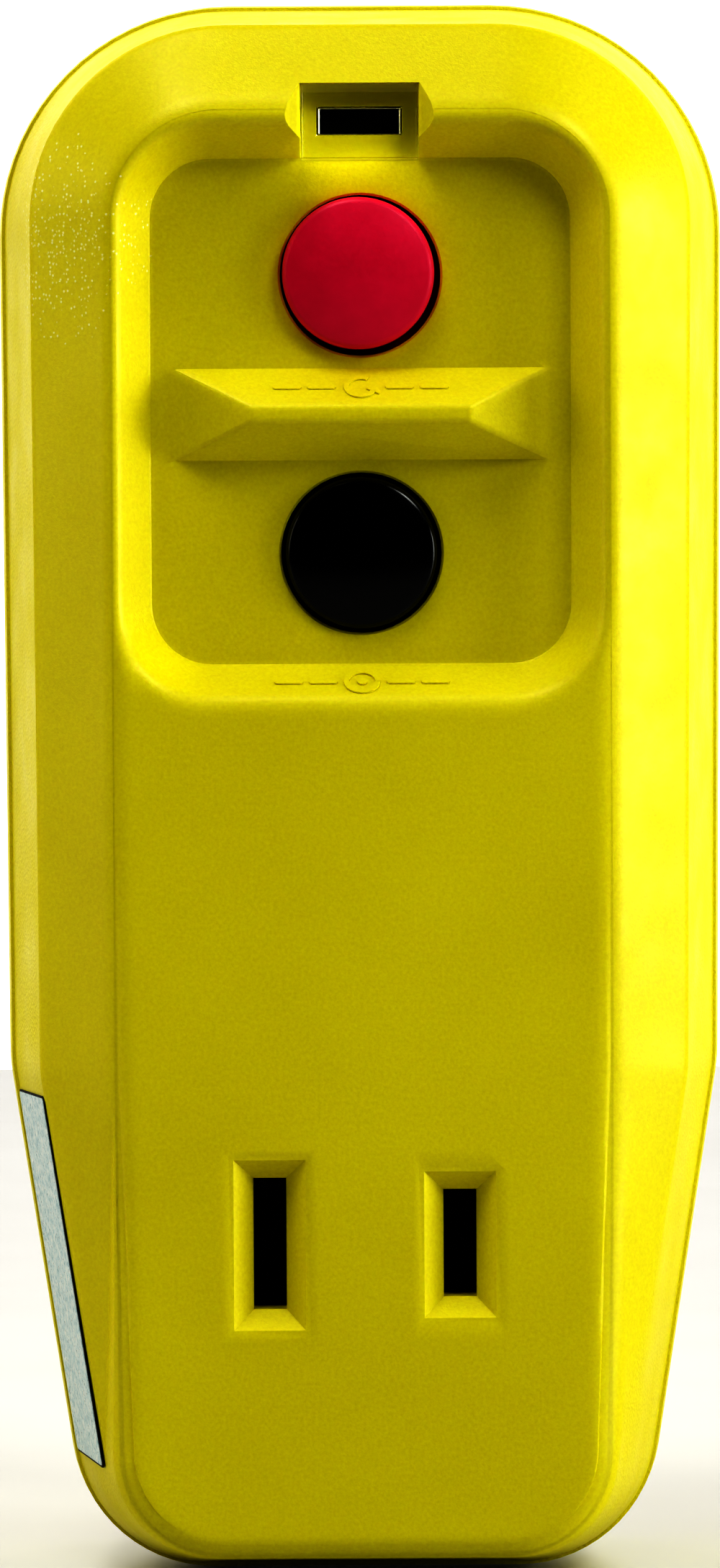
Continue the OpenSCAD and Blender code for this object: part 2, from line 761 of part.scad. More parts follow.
// Holds the two spring sockets behind the slots
module receptacle_block() color(IVORY) {
    difference() {
        box([-11.5, 11.5], [-33.6, -17.6], [-7.2, 7.2]);
        for (s = slots) box([s[0] - 2.5, s[0] + 2.5], [-35, -18.9], [-s[1] / 2 - 0.4, s[1] / 2 + 0.4]);
        box([-13, 13], [-20.1, -19.1], [-1.7, 1.7]);
    }
}

// Holds the inner ends of the blades against the rear cover
module blade_carrier() color(BLACK) {
    difference() {
        box([-11.5, 11.5], [-8.4, rear_in_y - eps], [-7.2, 7.2]);
        blade_opening(-pitch / 2, neutral_blade_h);
        blade_opening(pitch / 2, hot_blade_h);
    }
}

// A blade with a tapered tip and a hole, from the line bus to blade_l behind the casing
module plug_blade(x, h) {
    root_y = board_rear_y + 0.1 + bus_t + eps;
    tip = 2;
    hole_y = 11.9;
    profile = [
        [root_y, -h / 2], [blade_l - tip, -h / 2], [blade_l, -h / 2 + 1.2],
        [blade_l, h / 2 - 1.2], [blade_l - tip, h / 2], [root_y, h / 2]
    ];
    difference() {
        translate([x + blade_t / 2, 0, 0]) rotate([0, -90, 0]) linear_extrude(blade_t)
            polygon([for (p = profile) [p[1], p[0]]]);
        translate([x - 2, hole_y, 0]) rotate([0, 90, 0]) cylinder(h = 4, r = blade_hole_r);
    }
}

module plug_blade_neutral() color(BRASS) plug_blade(-pitch / 2, neutral_blade_h);

module plug_blade_hot() color(BRASS) plug_blade(pitch / 2, hot_blade_h);

// ---------------------------------------------------------------- electronics

module circuit_board() color("#1f6b3a") {
    difference() {
        slab(casing(wall + 1.1), board_front_y, board_rear_y);
        for (p = screw_at) rod_y(p[0], p[1], -14, -9, boss_d + 0.5);
        rod_y(0, core_z, -14, -9, 7.6);
        rod_y(0, reset_z, -14, -9, 3.2);
        for (s = [-1, 1]) rod_y(s * 6.55, test_z, -14, -9, 1.1);
        for (s = [-1, 1]) rod_y(s * 1.27, window_z, -14, -9, 0.9);
    }
}

module control_chip() color(BLACK) {
    y = board_rear_y + eps;
    box([-4.6, 4.6], [y + 0.5, y + 3.6], [41, 47.4]);
    for (i = [-1.5:1:1.5]) for (side = [-1, 1])
        translate([i * 2.54, y + 0.8, 44.2 + side * 3.65]) cube([0.5, 1.6, 1.1], center = true);
}

module surge_varistor() color("#2b57a6")
    rod_y(-12.6, 42, -16.6, board_front_y - eps, 8.2);

module filter_capacitor() color("#22262f")
    turned_y(44, [
        [0, -19], [2.4, -19], [2.6, -19.2], [3.1, -19.2], [3.1, -14.2], [2.8, -14], [2.8, -13.6],
        [3.1, -13.4], [3.1, board_front_y - eps], [0, board_front_y - eps]
    ], 12.4);

module trigger_thyristor() color(BLACK)
    difference() {
        rod_y(12.4, 35, -17.6, board_front_y - eps, 4.8);
        box([9, 16], [-19, -11], [36.2, 38]);
    }

// An axial component lying along Z on the board, with its two bent leads
module axial(x, z, d, l) {
    y = board_front_y - d / 2 - 0.2;
    half = 0.3;
    reach = l / 2 + 1.4;
    translate([x, y, z - l / 2]) cylinder(h = l, d = d);
    for (s = [-1, 1]) {
        bend = z + s * reach;
        box([x - half, x + half], [y - half, y + half], [min(z, bend), max(z, bend)]);
        box([x - half, x + half], [y - half, board_front_y - eps], [bend - half, bend + half]);
    }
}

module rectifier_diodes() color(BLACK)
    for (x = [-15, -11.8]) for (z = [27.5, 51.4]) axial(x, z, 2.5, 5);

module resistors() color("#c7a878")
    for (x = [11.2, 14.2]) for (z = [27, 10]) axial(x, z, 2.2, 6);

module ceramic_capacitors() color("#c98b2e")
    for (p = [[-13.6, 14], [-13.6, 20], [13.8, 52.4]])
        rod_y(p[0], p[1], -15.2, board_front_y - eps, 4.4);

front_cover();
rear_cover();
indicator_lens();
indicator_led();
rating_label();
reset_button();
reset_pin();
reset_spring();
test_button();
test_contact_bridge();
test_spring();
test_contact_pins();
button_guide();
mechanism_frame();
contact_carriage();
carriage_springs();
neutral_bridge();
hot_bridge();
latch_plate();
solenoid_frame();
solenoid_bobbin();
solenoid_coil();
solenoid_plunger();
plunger_spring();
sense_core();
sense_winding();
neutral_core();
neutral_winding();
transformer_cup();
line_bus_neutral();
line_bus_hot();
load_terminal_neutral();
load_terminal_hot();
receptacle_block();
blade_carrier();
plug_blade_neutral();
plug_blade_hot();
circuit_board();
control_chip();
surge_varistor();
filter_capacitor();
trigger_thyristor();
rectifier_diodes();
resistors();
ceramic_capacitors();
case_screws();
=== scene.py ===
"""The looks of a plug-in ground-fault outlet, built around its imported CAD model.

Lengths are in millimetres, except inside Blender's own data, which is in metres.
"""

import math

import bmesh
import bpy
import numpy as np
from mathutils import Matrix, Vector
from mathutils.geometry import delaunay_2d_cdt


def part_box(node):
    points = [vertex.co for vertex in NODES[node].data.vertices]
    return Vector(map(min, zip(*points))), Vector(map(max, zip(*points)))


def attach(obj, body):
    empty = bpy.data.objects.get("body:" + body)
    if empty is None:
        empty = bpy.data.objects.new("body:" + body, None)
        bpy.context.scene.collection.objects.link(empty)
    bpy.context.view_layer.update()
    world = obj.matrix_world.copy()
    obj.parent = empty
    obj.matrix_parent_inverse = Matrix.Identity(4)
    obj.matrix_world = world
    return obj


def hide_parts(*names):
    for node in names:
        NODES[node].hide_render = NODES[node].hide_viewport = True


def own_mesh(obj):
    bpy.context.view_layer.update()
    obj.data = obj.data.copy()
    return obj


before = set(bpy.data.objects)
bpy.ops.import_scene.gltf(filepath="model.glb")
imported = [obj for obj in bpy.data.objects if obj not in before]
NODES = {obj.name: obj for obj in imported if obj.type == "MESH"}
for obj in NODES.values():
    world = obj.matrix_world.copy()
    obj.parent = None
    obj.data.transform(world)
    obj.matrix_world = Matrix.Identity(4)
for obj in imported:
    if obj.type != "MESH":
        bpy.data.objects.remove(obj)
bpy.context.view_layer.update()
MM = 0.001

# ---------------------------------------------------------------- dimensions, as in the CAD model

FRONT_Y = -38.0
JOINT_Y = -20.0
BEVEL_DEPTH = 4.6
BEVEL_INSET = 2.8
JOINT_STEP = 0.35
JOINT_INSET = JOINT_STEP + 0.2  # how far the front cover's rear edge lies inside the casing's outline
WALL_DEPTH = JOINT_Y - FRONT_Y
WALL_LEAN = (BEVEL_INSET - JOINT_INSET) / (WALL_DEPTH - BEVEL_DEPTH)
RECESS_DEPTH = 3.2
RECESS_RUN = 2.4
RECESS_FLOOR_Y = FRONT_Y + RECESS_DEPTH
RESET_Z = 64.6
RESET_FRONT_Y = -36.6
TEST_Z = 46.1
TEST_FRONT_Y = -36.2
RIDGE_Z = (RESET_Z + TEST_Z) / 2
BUTTON_HOLE_R = 5.35
SLOTS = ((-6.35, 8.8), (6.35, 7.2))  # each slot's place across and its height
SLOT_HALF_WIDTH = 1.1
SLOT_CHAMFER = 1.45
SKIN = 0.02  # how far the smooth skin lies under the CAD faces
SIDE_SKIN = 0.05


# ---------------------------------------------------------------- outlines


class Outline:
    """Half of an outline that is symmetric about x = 0: three arcs and straight lines, bottom to top."""

    def __init__(self, low, bend, high):
        self.circles = [(np.array(c, float), float(r)) for c, r in (low, bend, high)]
        self.touch = [self._touch(*self.circles[i], *self.circles[i + 1]) for i in (0, 1)]
        angles = [-90.0, *self.touch, 90.0]
        self.arcs = [(c, r, angles[i], angles[i + 1]) for i, (c, r) in enumerate(self.circles)]
        ends = [(0.0, self.circles[0][0][1] - self.circles[0][1])]
        for c, r, a0, a1 in self.arcs:
            ends += [tuple(c + r * _unit(a0)), tuple(c + r * _unit(a1))]
        ends.append((0.0, self.circles[2][0][1] + self.circles[2][1]))
        self.lines = [(np.array(ends[i]), np.array(ends[i + 1])) for i in (0, 2, 4, 6)]

    @staticmethod
    def _touch(c0, r0, c1, r1):
        d = c1 - c0
        return math.degrees(math.atan2(d[1], d[0]) - math.acos((r0 - r1) / np.hypot(*d)))

    def distance(self, x, z):
        """Signed distance from the outline: positive outside."""
        x = np.abs(x)
        best = np.full(x.shape, 1e9)
        signed = np.full(x.shape, 1e9)
        for a, b in self.lines:
            d = b - a
            length = np.hypot(*d)
            if length < 1e-9:
                continue
            n = np.array([d[1], -d[0]]) / length
            t = np.clip(((x - a[0]) * d[0] + (z - a[1]) * d[1]) / length**2, 0, 1)
            gap = np.hypot(x - a[0] - t * d[0], z - a[1] - t * d[1])
            side = (x - a[0]) * n[0] + (z - a[1]) * n[1]
            nearer = gap < best
            best = np.where(nearer, gap, best)
            signed = np.where(nearer, np.where(side > 0, gap, -gap), signed)
        for c, r, a0, a1 in self.arcs:
            angle = np.degrees(np.arctan2(z - c[1], x - c[0]))
            radius = np.hypot(x - c[0], z - c[1])
            gap = np.where((angle >= a0) & (angle <= a1), np.abs(radius - r), 1e9)
            nearer = gap < best
            best = np.where(nearer, gap, best)
            signed = np.where(nearer, radius - r, signed)
        return signed

    def ring(self, grow=0.0, arc_steps=(14, 6, 18), line_steps=(12, 30, 52, 12)):
        """Points round the whole outline, moved out by grow, and their outward normals.

        The count never depends on grow.
        """
        points, normals = [], []
        for i in range(4):
            a, b = self.lines[i]
            n = _unit((self.arcs[0][2], self.arcs[0][3], self.arcs[1][3], 90.0)[i])
            for k in range(line_steps[i]):
                points.append(a + (b - a) * k / line_steps[i] + n * grow)
                normals.append(n)
            if i < 3:
                c, r, a0, a1 = self.arcs[i]
                for k in range(arc_steps[i]):
                    n = _unit(a0 + (a1 - a0) * k / arc_steps[i])
                    points.append(c + n * (r + grow))
                    normals.append(n)
        top = self.lines[3][1] + _unit(90.0) * grow
        points, normals = np.array(points), np.array(normals)
        mirror = np.array([-1.0, 1.0])
        whole = np.vstack([points, [top], points[:0:-1] * mirror])
        return whole, np.vstack([normals, [_unit(90.0)], normals[:0:-1] * mirror])


def _unit(degrees):
    return np.array([math.cos(math.radians(degrees)), math.sin(math.radians(degrees))])


def panel(half, low, middle, high, r_low, r_high):
    """An upright panel with round corners; half is half its width."""
    return Outline(
        ((half - r_low, low + r_low), r_low),
        ((half - r_low + 0.02, middle), r_low),
        ((half - r_high, high - r_high), r_high),
    )


def border_edge():
    """The outline where the sloping border meets the sides.

    It is the casing's, less the inset, with its lower and upper arcs moved out a little.
    """
    (low, low_r), (bend, bend_r), (high, high_r) = CASING.circles
    low_turn, high_turn = (math.radians(a) for a in CASING.touch)
    low = low + 0.35 * np.array([math.sin(low_turn), -math.cos(low_turn)])
    high = high + 0.6 * np.array([-math.sin(high_turn), math.cos(high_turn)])
    return Outline((low, low_r - BEVEL_INSET), (bend, bend_r - BEVEL_INSET), (high, high_r - BEVEL_INSET))


CASING = Outline(((10.5, -14.2), 10.0), ((12.55, 12.0), 12.0), ((9.0, 67.7), 15.9))
BORDER = border_edge()
FACE = panel(16.6, -21.1, 12.0, 75.6, 7.0, 7.2)
RECESS = panel(14.0, 38.7, 55.55, 72.4, 4.0, 4.0)
# The raised panel on the lower part of the face
RAISED = Outline(((9.25, -13.7), 6.3), ((9.52, 12.0), 6.98), ((9.35, 68.3), 7.15))
RAISED_BY = 0.15


# ---------------------------------------------------------------- the smooth shape of the front cover


def round_max(a, b, r):
    """The larger of two distances, with the edge where they meet rounded to radius r."""
    u, v = np.maximum(a + r, 0), np.maximum(b + r, 0)
    return np.minimum(-r, np.maximum(a, b)) + np.hypot(u, v)


def ramp(value, start, end):
    """0 before start, 1 after end, and smooth between them."""
    t = np.clip((value - start) / (end - start), 0, 1)
    return t * t * (3 - 2 * t)


def front_solid(x, depth, z):
    """Roughly the signed distance from the front cover's outer skin; depth is from the front face."""
    face = FACE.distance(x, z)
    border = BORDER.distance(x, z)
    width = np.maximum(face - border, 0.15)
    slant = 1 / np.hypot(1, BEVEL_DEPTH / width)
    step = RAISED_BY * ramp(z, 34, 4) * ramp(z, -19.5, -15.5)
    plateau = np.minimum(SKIN + step - depth, np.maximum(SKIN - depth, RAISED.distance(x, z)))
    bevel = (BEVEL_DEPTH * face / width + SKIN + step - depth) * slant
    share = (depth - BEVEL_DEPTH) / (WALL_DEPTH - BEVEL_DEPTH)
    joint = CASING.distance(x, z) + JOINT_INSET
    side = ((1 - share) * border + share * joint + SIDE_SKIN) / math.hypot(1, WALL_LEAN)
    lower = ramp(z, 20, -20)
    skin = round_max(round_max(plateau, bevel, 0.7 + 0.9 * lower), side, 0.2 + 0.25 * lower)
    floor = depth - RECESS_DEPTH - SKIN
    slope = RECESS_RUN / RECESS_DEPTH
    walls = (RECESS.distance(x, z) - slope * (RECESS_DEPTH - depth) - SKIN) / math.hypot(1, slope)
    return round_max(skin, -round_max(floor, walls, 0.12), 0.6)


def settle(points, direction, reach=(-4.0, 1.5), steps=34):
    """Moves points (x, depth, z) along direction onto the skin. Outside is ahead."""
    inner, outer = np.full(len(points), reach[0]), np.full(len(points), reach[1])
    for _ in range(steps):
        middle = (inner + outer) / 2
        p = points + direction * middle[:, None]
        inside = front_solid(p[:, 0], p[:, 1], p[:, 2]) < 0
        inner, outer = np.where(inside, middle, inner), np.where(inside, outer, middle)
    return points + direction * ((inner + outer) / 2)[:, None]


def with_depth(points, depth):
    return np.column_stack([points[:, 0], np.broadcast_to(depth, len(points)), points[:, 1]])


def front_skin():
    """Vertices (x, depth, z) and faces of the smooth outer skin, open at the back."""
    rim_points, rim_normals = CASING.ring(0)
    n = len(rim_points)
    knots = [with_depth(RAISED.ring(grow)[0], 0) for grow in (-1.3, -0.06, 0.045)]
    knots += [
        with_depth(FACE.ring(0)[0], 0), with_depth(BORDER.ring(0)[0], BEVEL_DEPTH),
        with_depth(rim_points - rim_normals * JOINT_INSET, WALL_DEPTH),
    ]
    forward = np.tile([0.0, -1.0, 0.0], (n, 1))
    along = np.roll(knots[3], -1, 0) - np.roll(knots[3], 1, 0)
    bevel_normal = np.cross(along, knots[4] - knots[3])
    bevel_normal /= np.linalg.norm(bevel_normal, axis=1)[:, None]
    bevel_normal *= np.where(bevel_normal[:, 1] > 0, -1, 1)[:, None]
    outward = np.column_stack([rim_normals[:, 0], np.zeros(n), rim_normals[:, 1]])
    rings = []
    for part, shares in enumerate((
        [0, 0.25, 0.5, 0.7, 0.85, 0.95],
        [0, 0.3, 0.5, 0.7],
        [0, 0.3, 0.6, 0.85],
        [0, 0.04, 0.09, 0.15, 0.22, 0.32, 0.45, 0.58, 0.7, 0.8, 0.87, 0.92, 0.95, 0.975, 0.99],
        [0, 0.007, 0.015, 0.025, 0.04, 0.06, 0.12, 0.18, 0.28, 0.45, 0.65, 0.85, 1.0],
    )):
        for share in shares:
            base = knots[part] * (1 - share) + knots[part + 1] * share
            rings.append(settle(base, push_direction(part, share, forward, bevel_normal, outward)))
    tail = rings[-1].copy()
    tail[:, 1] += 2.0
    rings.append(tail)
    inner_points, triangles = fill(rings[0][:, [0, 2]])
    extra = inner_points[n:]
    top = settle(with_depth(extra, 0.0), np.tile([0.0, -1.0, 0.0], (len(extra), 1)), reach=(-6.0, 1.0))
    vertices = np.vstack([rings[0], top] + rings[1:])
    faces = [list(t) for t in triangles]
    start = len(rings[0]) + len(top)
    previous = list(range(n))
    for k in range(1, len(rings)):
        current = [start + (k - 1) * n + i for i in range(n)]
        faces += [[previous[i], previous[(i + 1) % n], current[(i + 1) % n], current[i]] for i in range(n)]
        previous = current
    faces.append(previous[::-1])
    return vertices, faces


def push_direction(part, share, forward, bevel, outward):
    """The direction that a ring of the skin is moved in: it turns gradually round each corner."""
    turn, bevel_length, wall_length = 1.6, 5.0, WALL_DEPTH - BEVEL_DEPTH
    if part < 3:
        return forward
    if part == 3:
        near_edge = max(0.0, 1 - share * bevel_length / turn)
        near_wall = max(0.0, 1 - (1 - share) * bevel_length / turn)
        a, b, t = (bevel, forward, 0.5 * near_edge) if near_edge > 0 else (bevel, outward, 0.5 * near_wall)
    else:
        a, b, t = outward, bevel, 0.5 * max(0.0, 1 - share * wall_length / turn)
    mixed = a * (1 - t) + b * t
    return mixed / np.linalg.norm(mixed, axis=1)[:, None]


def fill(boundary):
    """Points and triangles inside a closed boundary, dense where the recess's slopes and edges are."""
    inside = inside_test(boundary)
    levels = [
        -0.6, -0.25, -0.1, -0.04, 0.02, 0.08, 0.16, 0.3, 0.6,
        0.95, 1.3, 1.65, 1.95, 2.2, 2.45, 2.75, 3.1, 3.6,
    ]
    grid_step, widest, gap_to_recess = 1.6, 17.6, 3.0
    candidates = []
    for level in levels:
        ring, _ = RECESS.ring(level, arc_steps=(12, 2, 12), line_steps=(16, 14, 14, 16))
        candidates.append(ring)
    xs = np.arange(-widest, widest + 0.01, grid_step)
    zs = np.arange(-24.0, 78.0, grid_step)
    grid = np.array([(x, z) for z in zs for x in xs])
    grid = grid[np.abs(RECESS.distance(grid[:, 0], grid[:, 1]) - 1.5) > gap_to_recess]
    candidates.append(grid)
    points = np.vstack(candidates)
    points = thin_out(points[inside(points, 0.25)], 0.045)
    whole = np.vstack([boundary, points])
    n = len(boundary)
    edges = [(i, (i + 1) % n) for i in range(n)]
    result = delaunay_2d_cdt([Vector(p) for p in whole], edges, [], 1, 1e-6)
    found = np.array([tuple(v) for v in result[0]])
    if len(found) != len(whole) or np.abs(found - whole).max() > 1e-4:
        raise ValueError("the triangulation moved or added points")
    return whole, [tuple(t) for t in result[2]]


def inside_test(boundary):
    """A test for points that lie inside a closed boundary by at least a margin."""
    start, end = boundary, np.roll(boundary, -1, 0)

    def test(points, margin):
        inside = np.zeros(len(points), bool)
        near = np.full(len(points), 1e9)
        for (ax, az), (bx, bz) in zip(start, end):
            dx, dz = bx - ax, bz - az
            crosses = (az > points[:, 1]) != (bz > points[:, 1])
            if abs(dz) > 1e-12:
                at = ax + (points[:, 1] - az) * dx / dz
                inside ^= crosses & (points[:, 0] < at)
            t = np.clip(((points[:, 0] - ax) * dx + (points[:, 1] - az) * dz) / (dx * dx + dz * dz), 0, 1)
            near = np.minimum(near, np.hypot(points[:, 0] - ax - t * dx, points[:, 1] - az - t * dz))
        return inside & (near > margin)

    return test


def thin_out(points, gap):
    """Drops points that lie closer than gap to an earlier one."""
    kept, table = [], {}
    for p in points:
        key = (int(math.floor(p[0] / gap)), int(math.floor(p[1] / gap)))
        close = False
        for i in (-1, 0, 1):
            for j in (-1, 0, 1):
                for q in table.get((key[0] + i, key[1] + j), ()):
                    if math.hypot(p[0] - q[0], p[1] - q[1]) < gap:
                        close = True
        if not close:
            kept.append(p)
            table.setdefault(key, []).append(p)
    return np.array(kept)


# ---------------------------------------------------------------- meshes


def new_object(name, mesh):
    obj = bpy.data.objects.new(name, mesh)
    bpy.context.scene.collection.objects.link(obj)
    return obj


def to_mesh(name, points, faces):
    """An object from points (x, y, z) in millimetres, with its normals made to face outwards."""
    mesh = bpy.data.meshes.new(name)
    mesh.from_pydata([tuple(float(c) * MM for c in p) for p in points], [], faces)
    bm = bmesh.new()
    bm.from_mesh(mesh)
    bmesh.ops.recalc_face_normals(bm, faces=bm.faces)
    bm.to_mesh(mesh)
    bm.free()
    return new_object(name, mesh)


def solid_copy(node):
    """A closed copy of a CAD node, with the doubled vertices of its sharp edges joined."""
    mesh = bpy.data.meshes.new(node + "_copy")
    bm = bmesh.new()
    bm.from_mesh(NODES[node].data)
    bmesh.ops.remove_doubles(bm, verts=bm.verts, dist=1e-7)
    bmesh.ops.dissolve_degenerate(bm, edges=bm.edges, dist=1e-7)
    bm.to_mesh(mesh)
    bm.free()
    for name in ("custom_normal", "sharp_face", "sharp_edge"):
        if name in mesh.attributes:
            mesh.attributes.remove(mesh.attributes[name])
    return new_object(node + "_copy", mesh)


def combine(obj, other, operation):
    """Applies a boolean with another object, which is then removed."""
    modifier = obj.modifiers.new("boolean", "BOOLEAN")
    modifier.operation = operation
    modifier.object = other
    modifier.solver = "MANIFOLD"
    graph = bpy.context.evaluated_depsgraph_get()
    mesh = bpy.data.meshes.new_from_object(obj.evaluated_get(graph))
    obj.modifiers.clear()
    old = obj.data
    obj.data = mesh
    bpy.data.meshes.remove(old)
    bpy.data.objects.remove(other)


def smooth(obj, angle=32):
    """Smooth shading, with edges sharper than angle kept."""
    mesh = obj.data
    mesh.polygons.foreach_set("use_smooth", np.ones(len(mesh.polygons), bool))
    mesh.set_sharp_from_angle(angle=math.radians(angle))


def stack(name, rings):
    """A closed solid through rings of points (x, y, z), all with the same count."""
    n = len(rings[0])
    faces = []
    for k in range(len(rings) - 1):
        near, far = k * n, (k + 1) * n
        faces += [[near + i, near + (i + 1) % n, far + (i + 1) % n, far + i] for i in range(n)]
    faces += [list(range(n))[::-1], [(len(rings) - 1) * n + i for i in range(n)]]
    return to_mesh(name, np.vstack(rings), faces)


def rectangle_ring(x, y, z, half_x, half_z):
    return np.array([(x - half_x, y, z - half_z), (x + half_x, y, z - half_z),
                     (x + half_x, y, z + half_z), (x - half_x, y, z + half_z)])


def circle_ring(x, y, z, radius, steps=72):
    angles = np.arange(steps) * 2 * math.pi / steps
    return np.column_stack([x + radius * np.cos(angles), np.full(steps, y), z + radius * np.sin(angles)])


def rounded_path(corners, radii, steps=5):
    """A polyline (list of 2D points) with its inner corners rounded."""
    out = [np.array(corners[0], float)]
    for i in range(1, len(corners) - 1):
        before, corner, after = (np.array(corners[k], float) for k in (i - 1, i, i + 1))
        a = corner + (before - corner) / np.linalg.norm(before - corner) * radii[i - 1]
        b = corner + (after - corner) / np.linalg.norm(after - corner) * radii[i - 1]
        for k in range(steps + 1):
            t = k / steps
            out.append((1 - t) ** 2 * a + 2 * t * (1 - t) * corner + t * t * b)
    out.append(np.array(corners[-1], float))
    return out


# ---------------------------------------------------------------- front cover


def ridge():
    """The hip-roofed ridge between the buttons, reaching a little into the recess floor."""
    crest, base, crest_depth, sunk = (7.3, 0.5), (12.6, 3.05), 0.1, 0.6
    extra = sunk / (RECESS_DEPTH - crest_depth)
    low = [base[i] + (base[i] - crest[i]) * extra for i in (0, 1)]
    obj = stack("ridge", [
        rectangle_ring(0, FRONT_Y + crest_depth, RIDGE_Z, *crest),
        rectangle_ring(0, RECESS_FLOOR_Y + sunk, RIDGE_Z, *low),
    ])
    bm = bmesh.new()
    bm.from_mesh(obj.data)
    deep = (RECESS_FLOOR_Y + sunk - 0.1) * MM
    edges = [e for e in bm.edges if not all(v.co.y > deep for v in e.verts)]
    bmesh.ops.bevel(bm, geom=edges, offset=0.28 * MM, segments=3, profile=0.5, affect="EDGES")
    bm.to_mesh(obj.data)
    bm.free()
    return obj


def lip(x, height):
    """Cuts a soft edge round a slot's chamfer."""
    half_x, half_z = SLOT_HALF_WIDTH + SLOT_CHAMFER, height / 2 + SLOT_CHAMFER
    return stack("lip", [
        rectangle_ring(x, FRONT_Y - 0.2, 0, half_x + 0.68, half_z + 0.68),
        rectangle_ring(x, FRONT_Y + 0.167, 0, half_x - 0.15, half_z - 0.15),
    ])


def hole_edge(z):
    """Cuts a soft edge round a button's hole."""
    return stack("hole_edge", [
        circle_ring(0, RECESS_FLOOR_Y - 0.3, z, BUTTON_HOLE_R + 0.47),
        circle_ring(0, RECESS_FLOOR_Y + 0.17, z, BUTTON_HOLE_R),
    ])


def prism(shape, place, up, outwards, low=-0.15, high=0.11):
    """A flat shape of (x, height) points, raised from the slope at place.

    up is the direction up the slope, and outwards the direction out of it.
    """
    place, up, outwards = (np.array(v, float) for v in (place, up, outwards))
    flat = [place + np.array([x, 0, 0]) + up * h for x, h in shape]
    return stack("mark", [np.array(flat) + outwards * lift for lift in (low, high)])


def bar(x, height, half_x, half_h):
    """A flat bar with round corners."""
    corner = min(half_x, half_h) * 0.9
    out = []
    for cx, ch, start in ((1, 1, 0), (-1, 1, 90), (-1, -1, 180), (1, -1, 270)):
        for k in range(5):
            turn = math.radians(start + 22.5 * k)
            across = x + cx * (half_x - corner) + corner * math.cos(turn)
            up = height + ch * (half_h - corner) + corner * math.sin(turn)
            out.append((across, up))
    return out


def ring_part(radius, width, start, end, steps=28):
    """A flat ring from one angle to another."""
    turns = [math.radians(start + (end - start) * k / steps) for k in range(steps + 1)]
    outer = [((radius + width / 2) * math.cos(t), (radius + width / 2) * math.sin(t)) for t in turns]
    inner = [((radius - width / 2) * math.cos(t), (radius - width / 2) * math.sin(t)) for t in turns]
    return outer + inner[::-1]


def arrow_head(radius, turn, size):
    """A triangle at the end of a ring part, pointing on round it."""
    t = math.radians(turn)
    across, ahead = np.array([math.cos(t), math.sin(t)]), np.array([-math.sin(t), math.cos(t)])
    tip = across * radius + ahead * size * 1.5
    return [tuple(across * (radius + size)), tuple(tip), tuple(across * (radius - size))]


def raise_marks(obj):
    """Plain raised marks: a turning arrow on the ridge, and a ring with a dot below the lower button.

    Each slope is a place on it, the direction up it and the direction out of it.
    """
    ridge_slope = ((0, FRONT_Y + 1.65, RIDGE_Z + 1.775), (0, 0.772, 0.635), (0, -0.635, 0.772))
    wall_slope = ((0, FRONT_Y + 1.6, 37.5), (0, 0.8, 0.6), (0, -0.6, 0.8))
    bars = [bar(side * x, 0, 0.95, 0.22) for side in (-1, 1) for x in (2.6, 4.9)]
    for slope, shapes in (
        (ridge_slope, [ring_part(0.95, 0.36, 60, 330), arrow_head(0.95, 328, 0.52)] + bars),
        (wall_slope, [ring_part(1.05, 0.36, 0, 359), bar(0, 0, 0.32, 0.32)] + bars),
    ):
        for shape in shapes:
            combine(obj, prism(shape, *slope), "UNION")


points, faces = front_skin()
front = to_mesh("case_front", np.column_stack([points[:, 0], points[:, 1] + FRONT_Y, points[:, 2]]), faces)
combine(front, solid_copy("front_cover"), "INTERSECT")
combine(front, ridge(), "UNION")
for x, height in SLOTS:
    combine(front, lip(x, height), "DIFFERENCE")
for z in (RESET_Z, TEST_Z):
    combine(front, hole_edge(z), "DIFFERENCE")
raise_marks(front)
smooth(front)
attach(front, "case")
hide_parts("front_cover")

# ---------------------------------------------------------------- rear cover

rim, rim_normals = CASING.ring(0)
# the rear cover's wall, from its front edge to its back, as (inset, y)
section = rounded_path(
    [
        (JOINT_STEP, JOINT_Y - 2), (JOINT_STEP, JOINT_Y), (0, JOINT_Y + 4),
        (1, -1.4), (2.4, -SKIN), (4.5, -SKIN),
    ],
    [0.05, 1.5, 1.2, 0.9],
)
rings = []
for inset, y in section:
    edge = rim - rim_normals * (inset + SIDE_SKIN)
    rings.append(np.column_stack([edge[:, 0], np.full(len(edge), y), edge[:, 1]]))
rear = stack("case_rear", rings)
combine(rear, solid_copy("rear_cover"), "INTERSECT")
smooth(rear)
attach(rear, "case")
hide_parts("rear_cover")

# ---------------------------------------------------------------- buttons


